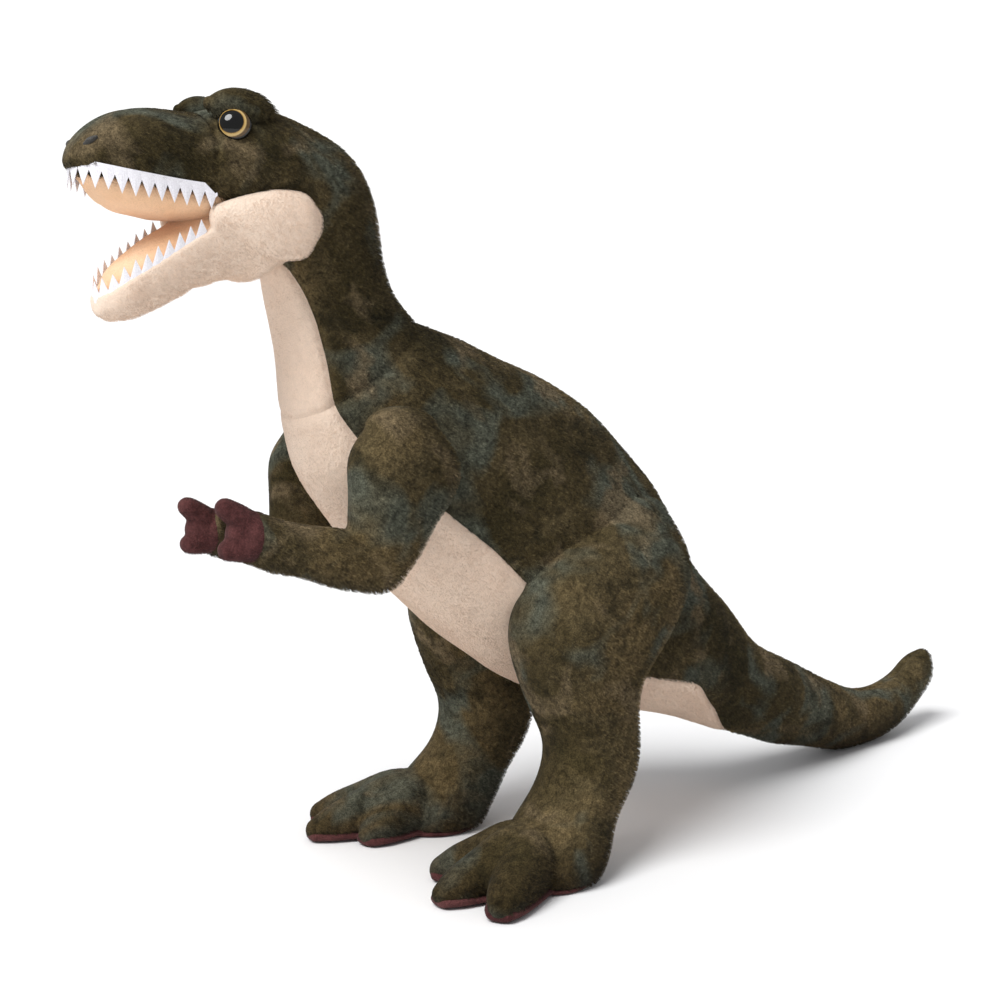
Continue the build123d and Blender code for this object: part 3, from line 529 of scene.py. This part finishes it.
# ---- felt teeth
def teeth(name, side_pts, pitch, height, up, root, lean, base):
    pts = np.array(side_pts, float)
    full = np.vstack([pts, (pts[::-1] * [1, -1, 1])[1:]])
    d = np.r_[0, np.cumsum(np.linalg.norm(np.diff(full, axis=0), axis=1))]
    n = int(round(d[-1] / pitch)); q = np.linspace(0, d[-1], n * 6 + 1)
    P = natural_spline(d, full, q)
    T = np.gradient(P, axis=0); T /= np.linalg.norm(T, axis=1, keepdims=True)
    cen = np.array([150.0, 0, 0])
    O = np.cross(T, [0, 0, 1.0]); O /= np.linalg.norm(O, axis=1, keepdims=True)
    sgn = np.sign(np.einsum("ij,ij->i", O, (P - cen) * [1, 1, 0])); O *= sgn[:, None]
    bm = bmesh.new()
    cols = []
    for i in range(len(P)):
        f = (i % 6) / 6.0
        h = height * (1 - abs(2 * f - 1)) - base
        k = (i // 6) % 7
        h *= 1.0 + 0.06 * math.sin(k * 2.3 + i // 6)
        ends = min(1.0, min(i, len(P) - 1 - i) / 6.0)
        prof = []
        for z, o2 in ((-root * ends - 0.3, -0.55), (h, -0.30), (h + 0.25, 0.0), (h, 0.30), (-root * ends - 0.3, 0.55)):
            prof.append(bm.verts.new(tuple(M(P[i] + np.array([0, 0, up * z]) + O[i] * (o2 + 0.7 + lean * max(z, 0))))))
        cols.append(prof)
    for a, b in zip(cols, cols[1:]):
        for j in range(5):
            k = (j + 1) % 5
            bm.faces.new((a[j], b[j], b[k], a[k]))
    bm.faces.new(cols[0]); bm.faces.new(cols[-1][::-1])
    bmesh.ops.recalc_face_normals(bm, faces=bm.faces)
    me = bpy.data.meshes.new(name); bm.to_mesh(me); bm.free(); me.materials.append(FELT)
    ob = bpy.data.objects.new(name, me); bpy.context.scene.collection.objects.link(ob)
    return ob

up_t = teeth("upper_teeth", [(157, 32.3, 411), (174, 30.0, 413), (191, 27.8, 415.6), (205, 24.0, 418.2), (215, 18.2, 420.6), (222, 10.0, 422.6), (225, 0, 423.6)], 7.0, 8.9, -1, 6.0, 0.06, 2.0)
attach(up_t, "head"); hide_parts("upper_tooth_strip")
lo_t = teeth("lower_teeth", [(162, 29.0, 392.8), (179, 25.2, 382.3), (196, 20.2, 371.2), (206, 14.2, 364), (211, 7.5, 359.8), (212.5, 0, 358.5)], 7.0, 7.6, 1, 4.0, 0.10, 0.0)
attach(lo_t, "jaw"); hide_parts("lower_tooth_strip")

# ---- eyes, brows, nostrils
def eye(side, tag):
    ax = np.array([0.45, side * 0.85, 0.27]); ax /= np.linalg.norm(ax)
    base = np.array([144.0, side * 29.5, 448.5]) + ax * 2.2
    u = np.cross(ax, [0, 0, 1.0]); u /= np.linalg.norm(u); v = np.cross(u, ax)
    verts, faces, rad = [], [], []
    nr, nt = 26, 64
    for i in range(nr + 1):
        a = i / nr * math.radians(100)
        r = 9.2 * math.sin(a); h = 6.2 * math.cos(a)
        for j in range(nt):
            th = 2 * math.pi * j / nt
            verts.append(tuple(M(base + ax * h + (u * math.cos(th) + v * math.sin(th)) * r))); rad.append(1.0 if a > math.pi / 2 or r > 8.35 else min(0.885, math.hypot(r / 9.2 * math.cos(th) - side * 0.17, r / 9.2 * math.sin(th) - 0.03)))
    for i in range(nr):
        for j in range(nt):
            k = (j + 1) % nt
            if i == 0:
                continue
            faces.append((i * nt + j, i * nt + k, (i + 1) * nt + k, (i + 1) * nt + j))
    faces.append(tuple(range(nt, 2 * nt))); faces.append(tuple(range(nr * nt, (nr + 1) * nt))[::-1])
    me = bpy.data.meshes.new(f"eye_dome_{tag}"); me.from_pydata(verts, [], faces)
    at = me.attributes.new("rad", "FLOAT", "POINT"); at.data.foreach_set("value", rad)
    bm = bmesh.new(); bm.from_mesh(me)
    bmesh.ops.delete(bm, geom=[x for x in bm.verts if not x.link_faces], context="VERTS")
    bmesh.ops.recalc_face_normals(bm, faces=bm.faces); bm.to_mesh(me); bm.free()
    me.materials.append(EYE); me.polygons.foreach_set("use_smooth", [True] * len(me.polygons))
    ob = bpy.data.objects.new(f"eye_dome_{tag}", me); bpy.context.scene.collection.objects.link(ob)
    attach(ob, "head"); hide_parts(f"eye_{tag}")

def tube(name, pts, radii, mat, flat=1.0, ns=40, nt=40):
    pts = np.array(pts, float); rows = []
    for i, p in enumerate(pts):
        t = pts[min(i + 1, len(pts) - 1)] - pts[max(i - 1, 0)]; t /= np.linalg.norm(t)
        u = np.cross(t, [0, 0, 1.0]); u /= np.linalg.norm(u); v = np.cross(u, t)
        rows.append((p, u * radii[i], v * radii[i] * flat, 2.0))
    lf = Loft(rows, N(ns), N(nt), (0.9, 0.9)); lf.push(lumps(lf.S, 0.35, 0.15, 31))
    return lf.mesh(name, [mat])

for side, tag in ((1, "left"), (-1, "right")):
    eye(side, tag)
    bs = np.array([113.0, side * 29.0, 456.5]); bd = np.array([0.93, -side * 0.16, 0.10]); bd /= np.linalg.norm(bd)
    o = tube(f"brow_roll_{tag}", [bs + bd * a for a in ((9, 12.5, 19, 27, 34.5, 39.5, 43) if side > 0 else (9, 12.5, 18, 25, 31.5, 36, 39))], [3.6, 6.8, 9.3, 10.0, 8.5, 6.0, 3.4], GREEN)
    PLUSH.append((o, "green"))
    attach(o, "head"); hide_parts(f"brow_{tag}")
    o = tube(f"nostril_stitch_{tag}", [(217.0, side * 15.0, 440.2), (219.6, side * 13.0, 438.4), (221.4, side * 10.8, 436.8)], [1.4, 2.4, 1.4], THREAD, 0.8, 16, 20)
    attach(o, "head"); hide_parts(f"nostril_{tag}")

# ---- legs and feet
LEG = [(-112.0, 52.0, 224.0, 20.0, 34.0, 3.0), (-104.0, 58.0, 206.0, 28.0, 50.0, 5.0), (-95.0, 62.0, 187.0, 33.0, 60.0, 5.0), (-84.0, 64.0, 165.0, 35.0, 61.0, 4.0),
       (-73.0, 65.0, 143.0, 34.0, 52.5, 4.0), (-69.0, 65.0, 123.0, 32.0, 41.0, 2.0), (-72.5, 65.0, 102.0, 30.0, 34.5, 2.0), (-78.0, 65.0, 80.0, 29.0, 30.5, 4.0),
       (-74.0, 66.0, 60.0, 28.0, 28.0, 6.5), (-63.0, 67.2, 43.6, 29.2, 26.5, 6.5), (-52.0, 68.5, 29.0, 32.0, 30.0, 6.0), (-44.0, 69.5, 15.0, 33.0, 32.0, 3.0), (-40.0, 70.0, 4.0, 31.0, 31.0, 0.3)]
TOES = {1: ([(17.0, 28.0), (43.0, 70.0), (29.0, 112.0)], (-32.0, 70.0)), -1: ([(18.0, 48.0), (42.0, 80.0), (20.0, 112.0)], (-36.0, 62.0))}
TOE_FORM = ((0.10, 17, 19), (0.34, 16.2, 18), (0.55, 14.8, 14.4), (0.72, 13.2, 11.4), (0.86, 10.8, 8.6), (0.95, 7.6, 6.2))
for side, tag in ((1, "left"), (-1, "right")):
    rows = []
    for r in LEG:
        c = np.array(r[:3], float)
        if side < 0:
            c = np.array([c[0] - 6.0, -(c[1] - 9.0), c[2]])
        rows.append((c, np.array([0, r[3], 0.0]), np.array([r[4], 0, r[5]], float), 2.0))
    lf = Loft(rows, N(130), N(120), (0.5, 0.06)); lf.push(lumps(lf.S, 1.5, 0.05, 40 + side) * np.clip((lf.S[..., 2] - 4) / 20, 0, 1))
    parts = [lf.mesh("leg_tmp", [GREEN])]
    tips, heel = TOES[side]
    for tp in tips:
        b = np.array([heel[0], side * heel[1], 0.0]); t = np.array([tp[0], side * tp[1], 0.0])
        dirv = t - b; ln = np.linalg.norm(dirv); dirv /= ln; u = np.cross([0, 0, 1.0], dirv)
        rws = []
        for f, w, h in TOE_FORM:
            rws.append((b + dirv * ln * f + np.array([0, 0, 2.6 + h * 0.93]), u * w, np.array([0, 0, h], float), 2.6))
        tl = Loft(rws, N(50), N(60), (0.8, 0.9)); parts.append(tl.mesh("toe_tmp", [GREEN]))
    o = fuse(f"{tag}_leg_skin", parts, 0.0019, GREEN, 5)
    me = o.data
    for v in me.vertices:
        if v.co.z < 0.0024:
            v.co.z = 0.0024
    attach(o, "torso"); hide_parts(f"{tag}_leg_outer_panel", f"{tag}_leg_inner_panel", f"{tag}_foot_top")
    PLUSH.append((o, "green"))
    # sole
    parts = []
    c = rows[-1][0]
    cen, u, v = np.array([c[0] + 2.0, c[1], 1.4]), np.array([0, 30.5, 0.0]), np.array([30.0, 0, 0])
    lf = Loft([(cen + [0, 0, -1.2], v * 0.97, u * 0.97, 2.0), (cen, v, u, 2.0), (cen + [0, 0, 1.6], v * 0.985, u * 0.985, 2.0)], 9, N(90), (0.0, 0.0)); parts.append(lf.mesh("s_tmp", [MAROON]))
    for tp in tips:
        b = np.array([heel[0], side * heel[1], 0.0]); t = np.array([tp[0], side * tp[1], 0.0])
        dirv = t - b; ln = np.linalg.norm(dirv); dirv /= ln; u = np.cross([0, 0, 1.0], dirv)
        rws = [(b + dirv * (ln * f + 0.9 * f) + np.array([0, 0, 3.0 + 2.2 * max(0.0, f - 0.5)]), u * (w + 0.5 + 0.6 * f), np.array([0, 0, 3.0 + 1.0 * f], float), 2.2) for f, w, h in TOE_FORM]
        parts.append(Loft(rws, N(50), N(50), (0.8, 0.9)).mesh("s_tmp", [MAROON]))
    o = fuse(f"{tag}_sole", parts, 0.0011, MAROON, 2)
    zmin = min(v.co.z for v in o.data.vertices)
    for v in o.data.vertices:
        v.co.z = max(v.co.z - zmin, 0.0)
    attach(o, "torso"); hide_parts(f"{tag}_foot_sole")

# ---- arms and hands
UP = [(61.5, 64.0, 284.0, 15, 22.0, 0.0), (60.0, 64.0, 266.0, 20.5, 33.5, 3.0), (62.5, 64.0, 248.0, 20.5, 32.5, 3.0), (69.0, 63.0, 231.0, 19.5, 26.0, 3.0),
      (73.5, 62.0, 215.0, 17.5, 20.5, 2.5), (77.0, 61.0, 204.0, 14.5, 15.0, 2.0)]
FO = [(78.0, 60.0, 206.5, 14.0, -2.0, 13.5), (93.0, 58.5, 211.5, 16.5, -1.0, 16.2), (116.0, 55.0, 218.0, 15.5, -0.5, 14.6), (135.0, 51.0, 223.5, 14.5, -0.5, 13.8), (147.0, 48.5, 227.8, 14.0, -1.0, 14.2)]
SHIFT = np.array([-31.0, -17.0, -13.0])
def place(side, c):
    c = np.array(c, float)
    return c if side > 0 else np.array([c[0], -c[1], c[2]]) + SHIFT
for side, tag in ((1, "left"), (-1, "right")):
    parts = []
    for table in (UP, FO):
        rows = [(place(side, r[:3]), np.array([0, r[3], 0.0]), np.array([r[4], 0, r[5]], float), 2.0) for r in table]
        lf = Loft(rows, N(70), N(80), (0.85, 0.85 if table is UP else 0.3)); lf.push(lumps(lf.S, 0.9, 0.07, 50 + side)); parts.append(lf.mesh("arm_tmp", [GREEN]))
    o = fuse(f"{tag}_arm_skin", parts, 0.0016, GREEN, 6)
    body = f"{tag}_arm"
    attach(o, body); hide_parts(f"{tag}_arm_outer_panel", f"{tag}_arm_inner_panel"); PLUSH.append((o, "green"))
    w = np.array([147.0, 48.5, 227.8])
    f0 = np.array([12.0, -2.5, 4.0]); f0 /= np.linalg.norm(f0)
    parts = []
    def cap_tube(pts, rad, flat):
        rws = []
        pts = [place(side, p) for p in pts]
        for i, p in enumerate(pts):
            t = pts[min(i + 1, len(pts) - 1)] - pts[max(i - 1, 0)]; t /= np.linalg.norm(t)
            u = np.cross(t, [0, 0, 1.0]); u /= np.linalg.norm(u); v = np.cross(u, t)
            rws.append((p, u * rad[i][0], v * rad[i][1], 2.0))
        l2 = Loft(rws, N(30), N(44), (0.5, 0.9)); parts.append(l2.mesh("h_tmp", [MAROON]))
    cap_tube([w + f0 * 0.3, w + f0 * 4.5, w + f0 * 8.5], [(13.6, 13.9), (12.6, 13.2), (9.0, 9.6)], 1)
    cap_tube([w + f0 * 2 + [0, 0, 6], w + f0 * 10 + [0, 0, 9.0], w + f0 * 17.5 + [0, 0, 11.5]], [(9, 7.2), (8.6, 6.8), (6.8, 5.6)], 1)
    cap_tube([w + f0 * 2 + [0, 0, -6], w + f0 * 10 + [0, 0, -9.0], w + f0 * 16.5 + [0, 0, -11.5]], [(9, 7.2), (8.6, 6.8), (6.8, 5.6)], 1)
    o = fuse(f"{tag}_hand_skin", parts, 0.0013, MAROON, 4)
    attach(o, body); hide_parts(f"{tag}_hand"); PLUSH.append((o, "maroon"))

# ---- CAD nodes that stay inside
for name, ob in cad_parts.items():
    mat = None
    if "stuffing" in name: mat = FIBRE
    elif "washer" in name: mat = WASHER
    elif "bean_bag" in name: mat = BAG
    if mat:
        ob.data.materials.clear(); ob.data.materials.append(mat)

# ------------------------------------------------------------------ short pile
def pile(ob, kind, seed, per_cm2=17.0, length=0.0026, kids=12, radius=0.00014, clump=0.5):
    area = sum(p.area for p in ob.data.polygons) * 1e4
    ob.data.materials.append(PILE[kind])
    ps = ob.modifiers.new("pile", "PARTICLE_SYSTEM")
    psys = ob.particle_systems[-1]; psys.seed = seed
    st = psys.settings
    st.type = "HAIR"
    st.count = max(200, int(area * per_cm2 * (1.0)))
    st.hair_step = 2
    st.emit_from = "FACE"; st.use_emit_random = True; st.distribution = "RAND"
    st.use_advanced_hair = True
    v = length / 4.0
    st.normal_factor = 0.42 * v
    st.object_align_factor = (-0.62 * v, 0.0, -0.45 * v)
    st.factor_random = 0.12 * v
    st.root_radius = 1.0; st.tip_radius = 0.3; st.radius_scale = radius
    st.material = len(ob.data.materials)
    st.child_type = "INTERPOLATED"
    st.rendered_child_count = kids
    st.child_length = 1.0
    st.roughness_1 = 0.0004; st.roughness_1_size = 0.004
    st.roughness_endpoint = 0.0003
    st.clump_factor = clump
    st.display_percentage = 2


for k, (o, kind) in enumerate(PLUSH):
    pile(o, kind, 100 + k, length={"green": 0.0030, "cream": 0.0013, "maroon": 0.0011}[kind], clump=0.55 if kind == "green" else 0.0)

# ------------------------------------------------------------------ floor, light, camera
me = bpy.data.meshes.new("floor"); me.from_pydata([(-8, -8, 0), (8, -8, 0), (8, 8, 0), (-8, 8, 0)], [], [(0, 1, 2, 3)])
fl, nt, b = new_mat("floor_white")
co = coords(nt)
nt.links.new(ramp(nt, noise(nt, co, 3.0, 2.0), [(0.3, (0.90, 0.90, 0.90)), (0.7, (0.93, 0.93, 0.93))]), b.inputs["Base Color"])
b.inputs["Roughness"].default_value = 0.9
me.materials.append(fl)
floor = bpy.data.objects.new("floor", me); bpy.context.scene.collection.objects.link(floor)

world = bpy.data.worlds.new("studio"); bpy.context.scene.world = world; world.use_nodes = True
wt = world.node_tree
bg = wt.nodes["Background"]
tc = wt.nodes.new("ShaderNodeTexCoord")
dot = wt.nodes.new("ShaderNodeVectorMath"); dot.operation = "DOT_PRODUCT"; dot.inputs[1].default_value = (-0.598, -0.801, 0.0)
wt.links.new(tc.outputs["Generated"], dot.inputs[0])
wt.links.new(ramp(wt, dot.outputs["Value"], [(0.0, (0.42, 0.42, 0.43)), (0.70, (0.42, 0.42, 0.43)), (0.86, (1.1, 1.1, 1.1)), (1.0, (1.1, 1.1, 1.1))]), bg.inputs[0])
bg.inputs[1].default_value = 1.0

sun_d = bpy.data.lights.new("key", "SUN"); sun_d.energy = 3.1; sun_d.angle = math.radians(32)
sun = bpy.data.objects.new("key", sun_d); bpy.context.scene.collection.objects.link(sun)
sun.rotation_euler = Vector((-0.75, -0.22, -1.0)).to_track_quat("-Z", "Y").to_euler()

psi, pitch = math.radians(36.7), math.radians(7.45)
v = Vector((math.sin(psi), math.cos(psi), 0))
fwd = -v * math.cos(pitch) + Vector((0, 0, -math.sin(pitch)))
right = fwd.cross(Vector((0, 0, 1))).normalized(); up = right.cross(fwd)
cam_d = bpy.data.cameras.new("camera"); cam = bpy.data.objects.new("camera", cam_d); bpy.context.scene.collection.objects.link(cam)
R = Matrix((right, up, -fwd)).transposed().to_4x4()
loc = Vector(M((-27.6, 38.0, 369.0))) + v * 1.037
cam.matrix_world = Matrix.Translation(loc) @ R
cam_d.lens = 61.8; cam_d.sensor_width = 36.0; cam_d.clip_end = 50
bpy.context.scene.camera = cam
bpy.context.scene.view_settings.view_transform = "Standard"
